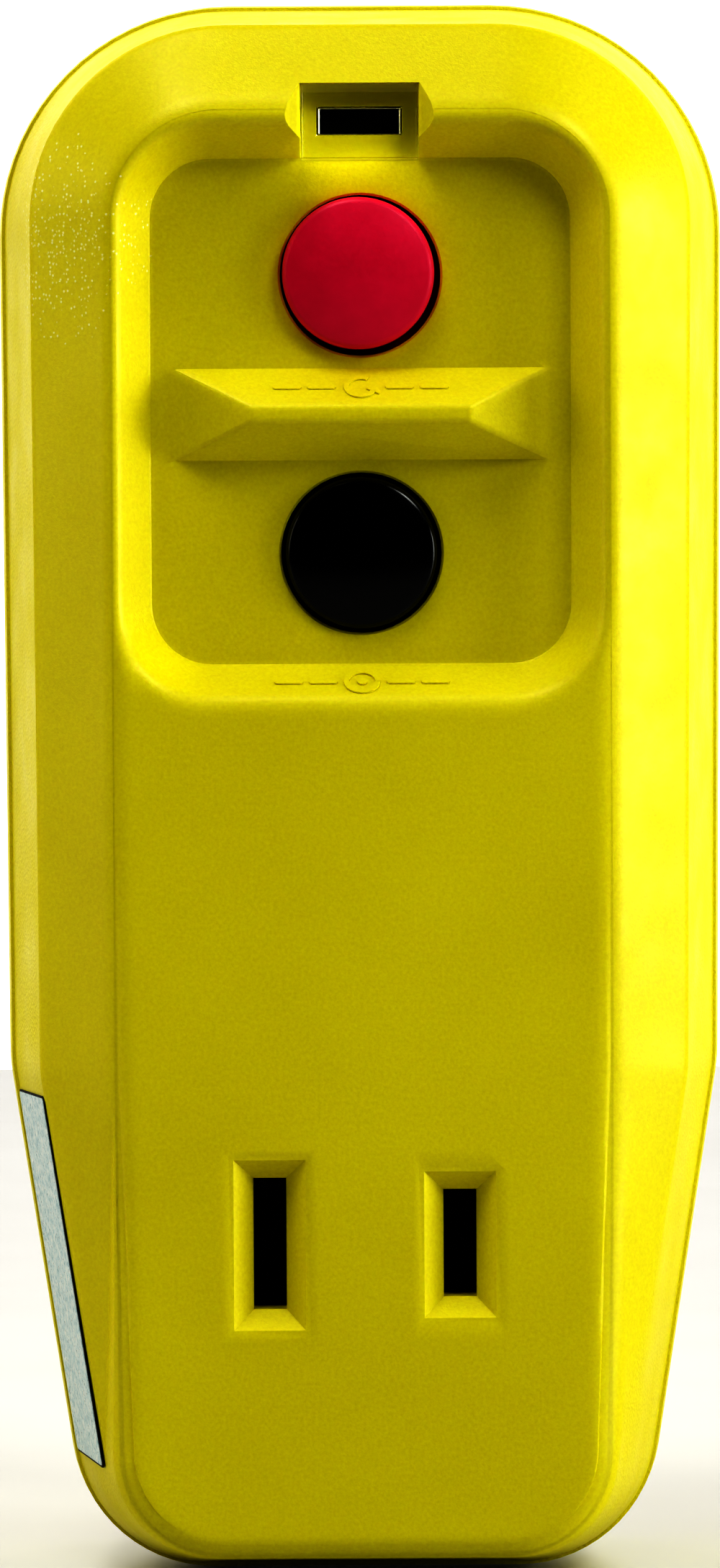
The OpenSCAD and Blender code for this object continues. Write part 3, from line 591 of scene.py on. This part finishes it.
def cap(name, node, z, front_y, body, shift=(0.0, 0.0)):
    """A button whose face is crowned more than the CAD one; shift moves it a little inside its hole."""
    radius, edge, crown, crown_r, flange_r = 5.08, 0.6, 0.72, 4.65, 6.5
    sphere = (crown_r ** 2 + crown ** 2) / (2 * crown)
    tilt = math.asin(crown_r / sphere)
    profile = []
    for k in (0.3, 1, 2, 3, 4, 5, 6, 7):
        turn = tilt * k / 8
        profile.append((sphere * math.sin(turn), front_y + SKIN + sphere * (1 - math.cos(turn))))
    centre = (radius - edge, front_y + SKIN + crown + edge * math.cos(tilt))
    for k in range(9):
        turn = tilt + (math.pi / 2 - tilt) * k / 8
        profile.append((centre[0] + edge * math.sin(turn), centre[1] - edge * math.cos(turn)))
    flange_y = RECESS_FLOOR_Y + 2.0
    profile += [(radius, flange_y), (flange_r, flange_y), (flange_r, front_y + 20)]
    obj = stack(name, [circle_ring(shift[0], y, z + shift[1], r, 96) for r, y in profile])
    copy = solid_copy(node)
    copy.data.transform(Matrix.Translation((shift[0] * MM, 0, shift[1] * MM)))
    combine(obj, copy, "INTERSECT")
    smooth(obj, 40)
    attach(obj, body)
    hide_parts(node)
    return obj


red_button = cap("reset_cap", "reset_button", RESET_Z, RESET_FRONT_Y, "reset", (-0.13, 0.14))
black_button = cap("test_cap", "test_button", TEST_Z, TEST_FRONT_Y, "test")

# ---------------------------------------------------------------- springs


def coil_points(length, diameter, wire, turns, per_turn=26, sides=8):
    """Rings of points round a spring's wire; the spring stands on z = 0, and its end turns lie closed."""
    rise, closed = length - wire, wire * 1.06
    knots, heights = [0, 1, turns - 1, turns], [0, closed, rise - closed, rise]
    radius = (diameter - wire) / 2
    rings = []
    for i in range(turns * per_turn + 1):
        turn = i / per_turn
        height = wire / 2 + np.interp(turn, knots, heights)
        a = 2 * math.pi * turn
        ring = []
        for k in range(sides):
            t = 2 * math.pi * k / sides
            out = radius + wire / 2 * math.cos(t)
            ring.append((out * math.cos(a), out * math.sin(a), height + wire / 2 * math.sin(t)))
        rings.append(np.array(ring))
    return rings


def spring(name, node, places, along_y, wire, turns):
    """Smooth springs in a CAD spring's place."""
    low, high = (np.array(corner, float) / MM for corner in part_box(node))
    length = high[1] - low[1] if along_y else high[2] - low[2]
    diameter = high[2] - low[2] if along_y else high[0] - low[0]
    middle = (low + high) / 2
    parts = []
    for x in places:
        rings = coil_points(length, diameter, wire, turns)
        if along_y:
            rings = [np.column_stack([x + r[:, 0], low[1] + r[:, 2], middle[2] + r[:, 1]]) for r in rings]
        else:
            rings = [np.column_stack([x + r[:, 0], middle[1] + r[:, 1], low[2] + r[:, 2]]) for r in rings]
        parts.append(stack(name, rings))
    obj = parts[0]
    for other in parts[1:]:
        combine(obj, other, "UNION")
    smooth(obj, 50)
    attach(obj, "case")
    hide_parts(node)
    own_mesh(obj)
    return obj


springs = [
    spring("reset_coil", "reset_spring", (0,), True, 0.5, 6),
    spring("test_coil", "test_spring", (0,), True, 0.5, 6),
    spring("carriage_coils", "carriage_springs", (-5.2, 5.2), True, 0.35, 5),
    spring("plunger_coil", "plunger_spring", (0,), False, 0.35, 5),
]

# ---------------------------------------------------------------- indicator frame

WINDOW_Z = 74.85
LED_HALF_X, LED_HALF_Z = 2.5, 0.85
LED_FRONT_Y = RECESS_FLOOR_Y + 1.1


def rim_round_led(name, gap, width, thick):
    """A thin frame standing just in front of the indicator, round its edge."""
    inner_x, inner_z = LED_HALF_X + gap[0], LED_HALF_Z + gap[1]
    y = LED_FRONT_Y - 0.02
    profile = ((0, 0), (0, width), (thick * 0.6, width), (thick, width * 0.5), (thick * 0.6, 0))
    rings = [
        rectangle_ring(0, y - depth, WINDOW_Z, inner_x + grow, inner_z + grow) for depth, grow in profile
    ]
    faces = []
    for k in range(len(rings)):
        for i in range(4):
            a, b = k * 4, (k + 1) % len(rings) * 4
            faces.append([a + i, a + (i + 1) % 4, b + (i + 1) % 4, b + i])
    return to_mesh(name, np.vstack(rings), faces)


indicator_rim = rim_round_led("indicator_rim", (0.13, -0.05), 0.13, 0.1)
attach(indicator_rim, "case")

# ---------------------------------------------------------------- label


def label_sheet(grow, lift, thickness, corner):
    """A sheet with round corners on the lower left wall; grow widens it all round."""
    a, b = BORDER.lines[1]
    along = (b - a) / np.linalg.norm(b - a)
    out = np.array([along[1], -along[0]])
    near, far = BEVEL_DEPTH + 0.5 - grow, WALL_DEPTH - 0.45 + grow
    corners = [(far, 9.1 + grow), (near, 9.5 + grow), (near, -15.3 - grow), (far, -15.55 - grow)]
    shape = []
    for i, (depth, z) in enumerate(corners):
        inward = (-corner if depth == far else corner, -corner if z > 0 else corner)
        for k in range(7):
            angle = math.radians(90 * i + 15 * k)
            middle = (depth + inward[0], z + inward[1])
            shape.append((middle[0] + corner * math.cos(angle), middle[1] + corner * math.sin(angle)))
    rings = []
    for off in (lift, lift + thickness):
        ring = []
        for depth, z in shape:
            base = a + out * (off + WALL_LEAN * (depth - BEVEL_DEPTH) - SIDE_SKIN)
            x = base[0] + along[0] * (z - base[1]) / along[1]
            ring.append((-x, FRONT_Y + depth, z))
        rings.append(np.array(ring))
    return rings


label = stack("rating_label_foil", label_sheet(0.0, 0.07, 0.06, 0.4))
# a dark sheet a little wider than the label, under it: its dark border is a painted shadow along the label's
# edge
label_shadow_sheet = stack("rating_label_shadow_sheet", label_sheet(0.14, 0.0, 0.09, 0.5))
for piece in (label, label_shadow_sheet):
    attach(piece, "case")
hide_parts("rating_label")
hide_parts("rating_label")

# ---------------------------------------------------------------- materials


class Nodes:
    """Short names for building a material's nodes."""

    def __init__(self, name, colour, rough, metallic=0.0):
        self.material = bpy.data.materials.new(name)
        self.material.use_nodes = True
        self.tree = self.material.node_tree
        self.shader = self.tree.nodes["Principled BSDF"]
        self.shader.inputs["Base Color"].default_value = (*colour, 1)
        self.shader.inputs["Roughness"].default_value = rough
        self.shader.inputs["Metallic"].default_value = metallic
        self.place = self.add("TexCoord").outputs["Object"]

    def add(self, kind, **inputs):
        """A new node; its inputs are numbers, vectors or other nodes' outputs."""
        node = self.tree.nodes.new("ShaderNode" + kind)
        for name, value in inputs.items():
            self.feed(value, node.inputs[name])
        return node

    def feed(self, value, socket):
        """Sets a socket to a value, or links it to another node's output."""
        if isinstance(value, bpy.types.NodeSocket):
            self.tree.links.new(value, socket)
        else:
            socket.default_value = value

    def set(self, **values):
        for name, value in values.items():
            self.shader.inputs[name.replace("_", " ")].default_value = value

    def math(self, operation, *values):
        node = self.add("Math")
        node.operation = operation
        for value, socket in zip(values, node.inputs):
            self.feed(value, socket)
        return node.outputs["Value"]

    def span(self, source, start, end, low=0.0, high=1.0):
        """low where source is at start, high where it is at end, and even between them."""
        limits = {"From Min": start, "From Max": end, "To Min": low, "To Max": high}
        return self.add("MapRange", Value=source, **limits).outputs["Result"]

    def noise(self, size_mm, detail=3.0, rough=0.55, stretch=None):
        place = self.place
        if stretch:
            place = self.add("Mapping", Scale=stretch, Vector=place).outputs["Vector"]
        node = self.add("TexNoise", Scale=1000 / size_mm, Detail=detail, Roughness=rough, Vector=place)
        return node.outputs["Fac"]

    def cells(self, size_mm):
        return self.add("TexVoronoi", Scale=1000 / size_mm, Vector=self.place)

    def sideways(self):
        """1 on surfaces that face sideways, 0 on those that face the front."""
        facing = self.tree.nodes["Texture Coordinate"].outputs["Normal"]
        forward = self.add("SeparateXYZ", Vector=facing).outputs["Y"]
        return self.span(self.math("ABSOLUTE", forward), 0.45, 0.3)

    def times(self, source, mask, least):
        """source times mask, where the mask is raised to least."""
        return self.math("MULTIPLY", source, self.span(mask, 0.0, 1.0, low=least))

    def mix(self, first, second, share):
        """share of second and the rest of first."""
        return self.add("Mix", Factor=share, A=first, B=second).outputs["Result"]

    def painted_glints(self, size_mm, colour, centre, radius):
        """Painted glints: pale grains painted over the colour, thick near centre and gone radius millimetres
        away.
        """
        cells = self.cells(size_mm)
        choice = self.add("SeparateColor", Color=cells.outputs["Color"])
        away = self.add("VectorMath")
        away.operation = "DISTANCE"
        self.feed(self.place, away.inputs[0])
        self.feed([c * MM for c in centre], away.inputs[1])
        rarity = self.span(away.outputs["Value"], radius * MM, 0.0, low=1.0, high=0.45)
        chosen = self.math("GREATER_THAN", choice.outputs["Red"], rarity)
        share = self.math("MULTIPLY", chosen, self.span(cells.outputs["Distance"], 0.5, 0.2))
        base = self.shader.inputs["Base Color"].links[0].from_socket
        result = mix_colours(self.tree, share, base, (*colour, 1))
        self.tree.links.new(result, self.shader.inputs["Base Color"])

    def colour(self, source, stops):
        node = self.add("ValToRGB", Fac=source)
        set_stops(node.color_ramp, stops)
        self.tree.links.new(node.outputs["Color"], self.shader.inputs["Base Color"])

    def roughness(self, source, low, high):
        self.tree.links.new(self.span(source, 0.3, 0.7, low, high), self.shader.inputs["Roughness"])

    def bump(self, *layers):
        """layers are (source, height in millimetres)."""
        normal = None
        for source, height in layers:
            node = self.add("Bump", Strength=1.0, Distance=height * MM, Height=source)
            if normal is not None:
                self.tree.links.new(normal, node.inputs["Normal"])
            normal = node.outputs["Normal"]
        self.tree.links.new(normal, self.shader.inputs["Normal"])


def set_stops(color_ramp, stops):
    """Gives a colour ramp its stops, each a place from 0 to 1 and a colour."""
    elements = color_ramp.elements
    while len(elements) < len(stops):
        elements.new(0.5)
    for element, (at, colour) in zip(elements, stops):
        element.position = at
        element.color = (*colour, 1)


def mix_colours(tree, share, first, second):
    """A mix of a linked colour and a plain one; share is the plain one's."""
    node = tree.nodes.new("ShaderNodeMix")
    node.data_type = "RGBA"
    sockets = [socket for socket in node.inputs if socket.type == "RGBA"]
    tree.links.new(share, node.inputs["Factor"])
    tree.links.new(first, sockets[0])
    sockets[1].default_value = second
    return next(socket for socket in node.outputs if socket.type == "RGBA")


def paint(material, *objects):
    for obj in objects:
        obj.data.materials.clear()
        obj.data.materials.append(material)


def yellow_plastic(name, rough_all):
    """Moulded plastic: finely grained in front, spark-eroded on its sides, or all over; unless rough all
    over, it has glints painted into its colour on the upper left of the front.
    """
    n = Nodes(name, (0.80, 0.735, 0.004), 0.42)
    broad, grain, fine = n.noise(16, 2), n.noise(0.34, 3, 0.6), n.noise(0.13, 2)
    pits = n.cells(0.24).outputs["Distance"]
    tone = n.mix(broad, n.noise(0.26, 2, 0.7), 0.6)
    n.colour(tone, [(0.3, (0.755, 0.68, 0.003)), (0.7, (0.85, 0.79, 0.005))])
    if not rough_all:
        # pale specks painted into the colour as glints, thick on the upper left of the front
        n.painted_glints(0.24, (0.98, 0.96, 0.55), centre=(-20.5, -35.5, 67.0), radius=7.5)
    n.roughness(n.noise(5, 4), 0.36, 0.5)
    n.set(Subsurface_Weight=0.15, Subsurface_Radius=(1.0, 0.6, 0.05), Subsurface_Scale=0.0012)
    if rough_all:
        n.bump((grain, 0.035), (pits, 0.03), (fine, 0.006))
    else:
        sides = n.sideways()
        n.bump((n.times(grain, sides, 0.3), 0.035), (n.times(pits, sides, 0.0), 0.03), (fine, 0.006))
    return n.material


def red_plastic():
    n = Nodes("red_plastic", (0.76, 0.012, 0.12), 0.42)
    n.colour(n.noise(3, 3), [(0.3, (0.72, 0.010, 0.11)), (0.7, (0.80, 0.015, 0.135))])
    n.roughness(n.noise(0.4, 3), 0.36, 0.5)
    n.bump((n.noise(0.3, 3), 0.004))
    return n.material


def black_plastic():
    n = Nodes("black_plastic", (0.004, 0.004, 0.004), 0.2)
    n.roughness(n.noise(0.6, 3), 0.16, 0.26)
    n.bump((n.noise(0.5, 3), 0.002))
    return n.material


def foil():
    n = Nodes("speckled_foil", (0.7, 0.8, 0.85), 0.35, 0.2)
    dark, middle, pale = (0.40, 0.58, 0.66), (0.68, 0.82, 0.88), (0.90, 0.96, 0.98)
    n.colour(n.noise(0.5, 5, 0.75), [(0.36, dark), (0.48, middle), (0.6, pale)])
    n.roughness(n.noise(0.3, 3), 0.25, 0.5)
    n.bump((n.noise(0.25, 3), 0.006))
    return n.material


def painted_label_shadow():
    # near black, as painted shadow along the label's edge
    n = Nodes("label_edge_painted_shadow", (0.01, 0.012, 0.015), 0.6)
    n.roughness(n.noise(0.3, 2), 0.5, 0.7)
    n.bump((n.noise(0.3, 2), 0.003))
    return n.material


def clear_plastic():
    n = Nodes("clear_plastic", (1.0, 1.0, 0.9), 0.03)
    n.set(Transmission_Weight=1.0, IOR=1.5)
    n.bump((n.noise(2.0, 2), 0.003))
    return n.material


def moulding(name, low, high, rough=0.5, height=0.006):
    n = Nodes(name, high, rough)
    n.colour(n.noise(2.5, 3), [(0.3, low), (0.7, high)])
    n.roughness(n.noise(0.5, 3), rough - 0.08, rough + 0.08)
    n.bump((n.noise(0.35, 3), height))
    return n.material


def metal(name, low, high, rough=0.3, stretch=(1, 0.12, 1)):
    n = Nodes(name, high, rough, 1.0)
    n.colour(n.noise(1.6, 4), [(0.3, low), (0.7, high)])
    brushed = n.noise(0.25, 3, 0.6, stretch)
    n.roughness(brushed, rough - 0.08, rough + 0.12)
    n.bump((brushed, 0.002))
    return n.material


paint(yellow_plastic("yellow_plastic", False), front)
paint(yellow_plastic("yellow_rough_plastic", True), rear)
paint(foil(), label)
paint(painted_label_shadow(), label_shadow_sheet)
paint(red_plastic(), red_button)
paint(black_plastic(), black_button)
paint(clear_plastic(), NODES["indicator_lens"])
paint(metal("bright_rim", (0.8, 0.8, 0.78), (0.95, 0.95, 0.93), 0.3), indicator_rim)

FINISHES = {
    "black_epoxy": moulding("black_epoxy", (0.004, 0.004, 0.004), (0.012, 0.012, 0.013), 0.45),
    "ivory": moulding("ivory_moulding", (0.60, 0.55, 0.42), (0.70, 0.66, 0.54), 0.5),
    "black": moulding("black_moulding", (0.010, 0.010, 0.011), (0.025, 0.025, 0.027), 0.5),
    "ferrite": moulding("grey_ferrite", (0.02, 0.02, 0.022), (0.06, 0.06, 0.065), 0.6, 0.012),
    "laminate": moulding("green_laminate", (0.008, 0.075, 0.03), (0.015, 0.12, 0.045), 0.3, 0.003),
    "blue": moulding("blue_epoxy", (0.010, 0.045, 0.22), (0.016, 0.07, 0.32), 0.3, 0.01),
    "sleeve": moulding("capacitor_sleeve", (0.006, 0.008, 0.02), (0.012, 0.016, 0.035), 0.3, 0.004),
    "tan": moulding("tan_lacquer", (0.42, 0.28, 0.12), (0.55, 0.40, 0.2), 0.3, 0.01),
    "orange": moulding("orange_epoxy", (0.45, 0.16, 0.015), (0.58, 0.24, 0.03), 0.35, 0.012),
    "enamel": moulding("enamelled_wire", (0.32, 0.09, 0.02), (0.48, 0.16, 0.04), 0.25, 0.004),
    "steel": metal("plated_steel", (0.42, 0.43, 0.45), (0.58, 0.59, 0.60), 0.32),
    "spring": metal("spring_wire", (0.32, 0.33, 0.35), (0.48, 0.49, 0.50), 0.28),
    "brass": metal("contact_brass", (0.56, 0.40, 0.14), (0.68, 0.50, 0.20), 0.3),
    # brass darkened as painted shade: the load terminals sit deep in the slots
    "brass_in_slot_shade": metal("contact_brass_painted_shade", (0.13, 0.085, 0.03), (0.22, 0.15, 0.05), 0.45),
    "blade": metal("blade_brass", (0.62, 0.48, 0.22), (0.76, 0.62, 0.32), 0.26),
    "copper": metal("bus_copper", (0.50, 0.20, 0.09), (0.64, 0.28, 0.13), 0.3),
}
FINISH_OF = {
    "indicator_led": "black_epoxy", "control_chip": "black_epoxy", "trigger_thyristor": "black_epoxy",
    "rectifier_diodes": "black_epoxy", "button_guide": "ivory", "mechanism_frame": "ivory",
    "solenoid_bobbin": "ivory", "receptacle_block": "black", "contact_carriage": "black",
    "transformer_cup": "black", "blade_carrier": "black", "sense_core": "ferrite", "neutral_core": "ferrite",
    "circuit_board": "laminate", "surge_varistor": "blue", "filter_capacitor": "sleeve", "resistors": "tan",
    "ceramic_capacitors": "orange", "sense_winding": "enamel", "neutral_winding": "enamel",
    "solenoid_coil": "enamel", "reset_pin": "steel", "latch_plate": "steel", "solenoid_frame": "steel",
    "solenoid_plunger": "steel", "case_screws": "steel", "test_contact_bridge": "brass",
    "test_contact_pins": "brass", "load_terminal_neutral": "brass_in_slot_shade", "load_terminal_hot": "brass_in_slot_shade",
    "plug_blade_neutral": "blade", "plug_blade_hot": "blade", "neutral_bridge": "copper",
    "hot_bridge": "copper", "line_bus_neutral": "copper", "line_bus_hot": "copper",
}
paint(FINISHES["spring"], *springs)
for node, finish in FINISH_OF.items():
    paint(FINISHES[finish], NODES[node])


def soften(node, width, segments=2):
    """Rounds the edges of a CAD node a little, as a modifier."""
    obj = NODES[node]
    weld = obj.modifiers.new("weld", "WELD")
    weld.merge_threshold = 1e-7
    flat = obj.modifiers.new("flat", "DECIMATE")
    flat.decimate_type = "DISSOLVE"
    flat.angle_limit = math.radians(0.5)
    bevel = obj.modifiers.new("edges", "BEVEL")
    bevel.width = width * MM
    bevel.segments = segments
    bevel.limit_method = "ANGLE"
    bevel.angle_limit = math.radians(35)
    bevel.harden_normals = False


for node in ("plug_blade_neutral", "plug_blade_hot"):
    soften(node, 0.18, 3)
soften("indicator_lens", 0.12, 2)
soften("indicator_led", 0.1, 2)
NODES["indicator_lens"].visible_shadow = False

# ---------------------------------------------------------------- camera and light


CAMERA_DISTANCE = 560
VIEW_HEIGHT = 104.26  # what the camera sees at that distance
SENSOR = 36
LIGHT_DISTANCE = 0.8  # in metres


def aim(obj, target, roll=0.0):
    turn = (Vector(target) - obj.location).to_track_quat("-Z", "Y")
    obj.rotation_mode = "QUATERNION"
    obj.rotation_quaternion = turn @ Matrix.Rotation(roll, 3, "Z").to_quaternion()


camera = bpy.data.objects.new("camera", bpy.data.cameras.new("camera"))
bpy.context.scene.collection.objects.link(camera)
bpy.context.scene.camera = camera
target = Vector((-0.18 * MM, FRONT_Y * MM, 30.77 * MM))
elevation = math.radians(2.3)
camera.location = target + Vector((0, -math.cos(elevation), math.sin(elevation))) * CAMERA_DISTANCE * MM
camera.data.sensor_width = SENSOR
camera.data.lens = SENSOR * CAMERA_DISTANCE / VIEW_HEIGHT
aim(camera, target, math.radians(-0.3))


def area_light(name, around, up_front, size, level, colour=(1, 1, 1)):
    """A square light, size metres wide.

    around is its angle seen from the front (0 right, 90 above), up_front the angle by which it stands in
    front of the plane of the face, and level the brightness of a white card facing it.
    """
    data = bpy.data.lights.new(name, "AREA")
    data.shape = "SQUARE"
    data.size = size
    data.energy = level * math.pi ** 2 * LIGHT_DISTANCE ** 2
    data.color = colour
    light = bpy.data.objects.new(name, data)
    bpy.context.scene.collection.objects.link(light)
    around, up_front = math.radians(around), math.radians(up_front)
    side = math.cos(up_front)
    centre = Vector((0, -0.03, 0.035))
    direction = Vector((side * math.cos(around), -math.sin(up_front), side * math.sin(around)))
    light.location = centre + direction * LIGHT_DISTANCE
    aim(light, centre)


area_light("key", 50, 32, 0.22, 0.25, colour=(0.98, 1.0, 0.95))
area_light("right", 5, 12, 0.30, 0.38, colour=(0.97, 1.0, 0.97))
area_light("above", 105, 18, 0.30, 0.32, colour=(0.99, 1.0, 0.93))
area_light("left", 165, 9, 0.40, 0.20, colour=(1.0, 0.97, 0.80))
area_light("behind_right", 50, -38, 0.45, 0.13)
area_light("behind_left", 130, -38, 0.45, 0.12)

# from dark in front of the object to white behind it
STUDIO = [
    (0.0, (0.0, 0.0, 0.0)), (0.4, (0.0, 0.0, 0.0)), (0.75, (0.26, 0.19, 0.12)),
    (0.90, (0.5, 0.5, 0.5)), (0.97, (1.0, 1.0, 1.0)),
]


def studio_world():
    """Light that grows towards the back, and a plain white backdrop where the camera looks straight at it."""
    world = bpy.data.worlds.new("studio")
    world.use_nodes = True
    tree = world.node_tree
    place = tree.nodes.new("ShaderNodeTexCoord")
    split = tree.nodes.new("ShaderNodeSeparateXYZ")
    shift = tree.nodes.new("ShaderNodeMapRange")
    shift.inputs["From Min"].default_value = -1.0
    fade = tree.nodes.new("ShaderNodeValToRGB")
    set_stops(fade.color_ramp, STUDIO)
    ray = tree.nodes.new("ShaderNodeLightPath")
    tree.links.new(place.outputs["Generated"], split.inputs["Vector"])
    tree.links.new(split.outputs["Y"], shift.inputs["Value"])
    tree.links.new(shift.outputs["Result"], fade.inputs["Fac"])
    white = (1.0, 1.0, 1.0, 1)
    backdrop = mix_colours(tree, ray.outputs["Is Camera Ray"], fade.outputs["Color"], white)
    tree.links.new(backdrop, tree.nodes["Background"].inputs["Color"])
    tree.nodes["Background"].inputs["Strength"].default_value = 1.0
    return world


bpy.context.scene.world = studio_world()

FLOOR_Z = -24.22
FLOOR_SIZE = (500, -400, 450)  # half its width, its near and its far edge
wide, near, far = FLOOR_SIZE
floor_corners = [(x, y, FLOOR_Z) for x, y in ((-wide, near), (wide, near), (wide, far), (-wide, far))]
floor = to_mesh("floor", floor_corners, [[0, 1, 2, 3]])
floor_look = Nodes("pale_floor", (0.57, 0.565, 0.55), 0.3)
floor_look.roughness(floor_look.noise(30, 3), 0.29, 0.31)
floor_look.bump((floor_look.noise(8, 3), 0.0004))
paint(floor_look.material, floor)
view = bpy.context.scene.view_settings
view.view_transform = "Standard"
view.look = "Very High Contrast"
view.gamma = 0.68
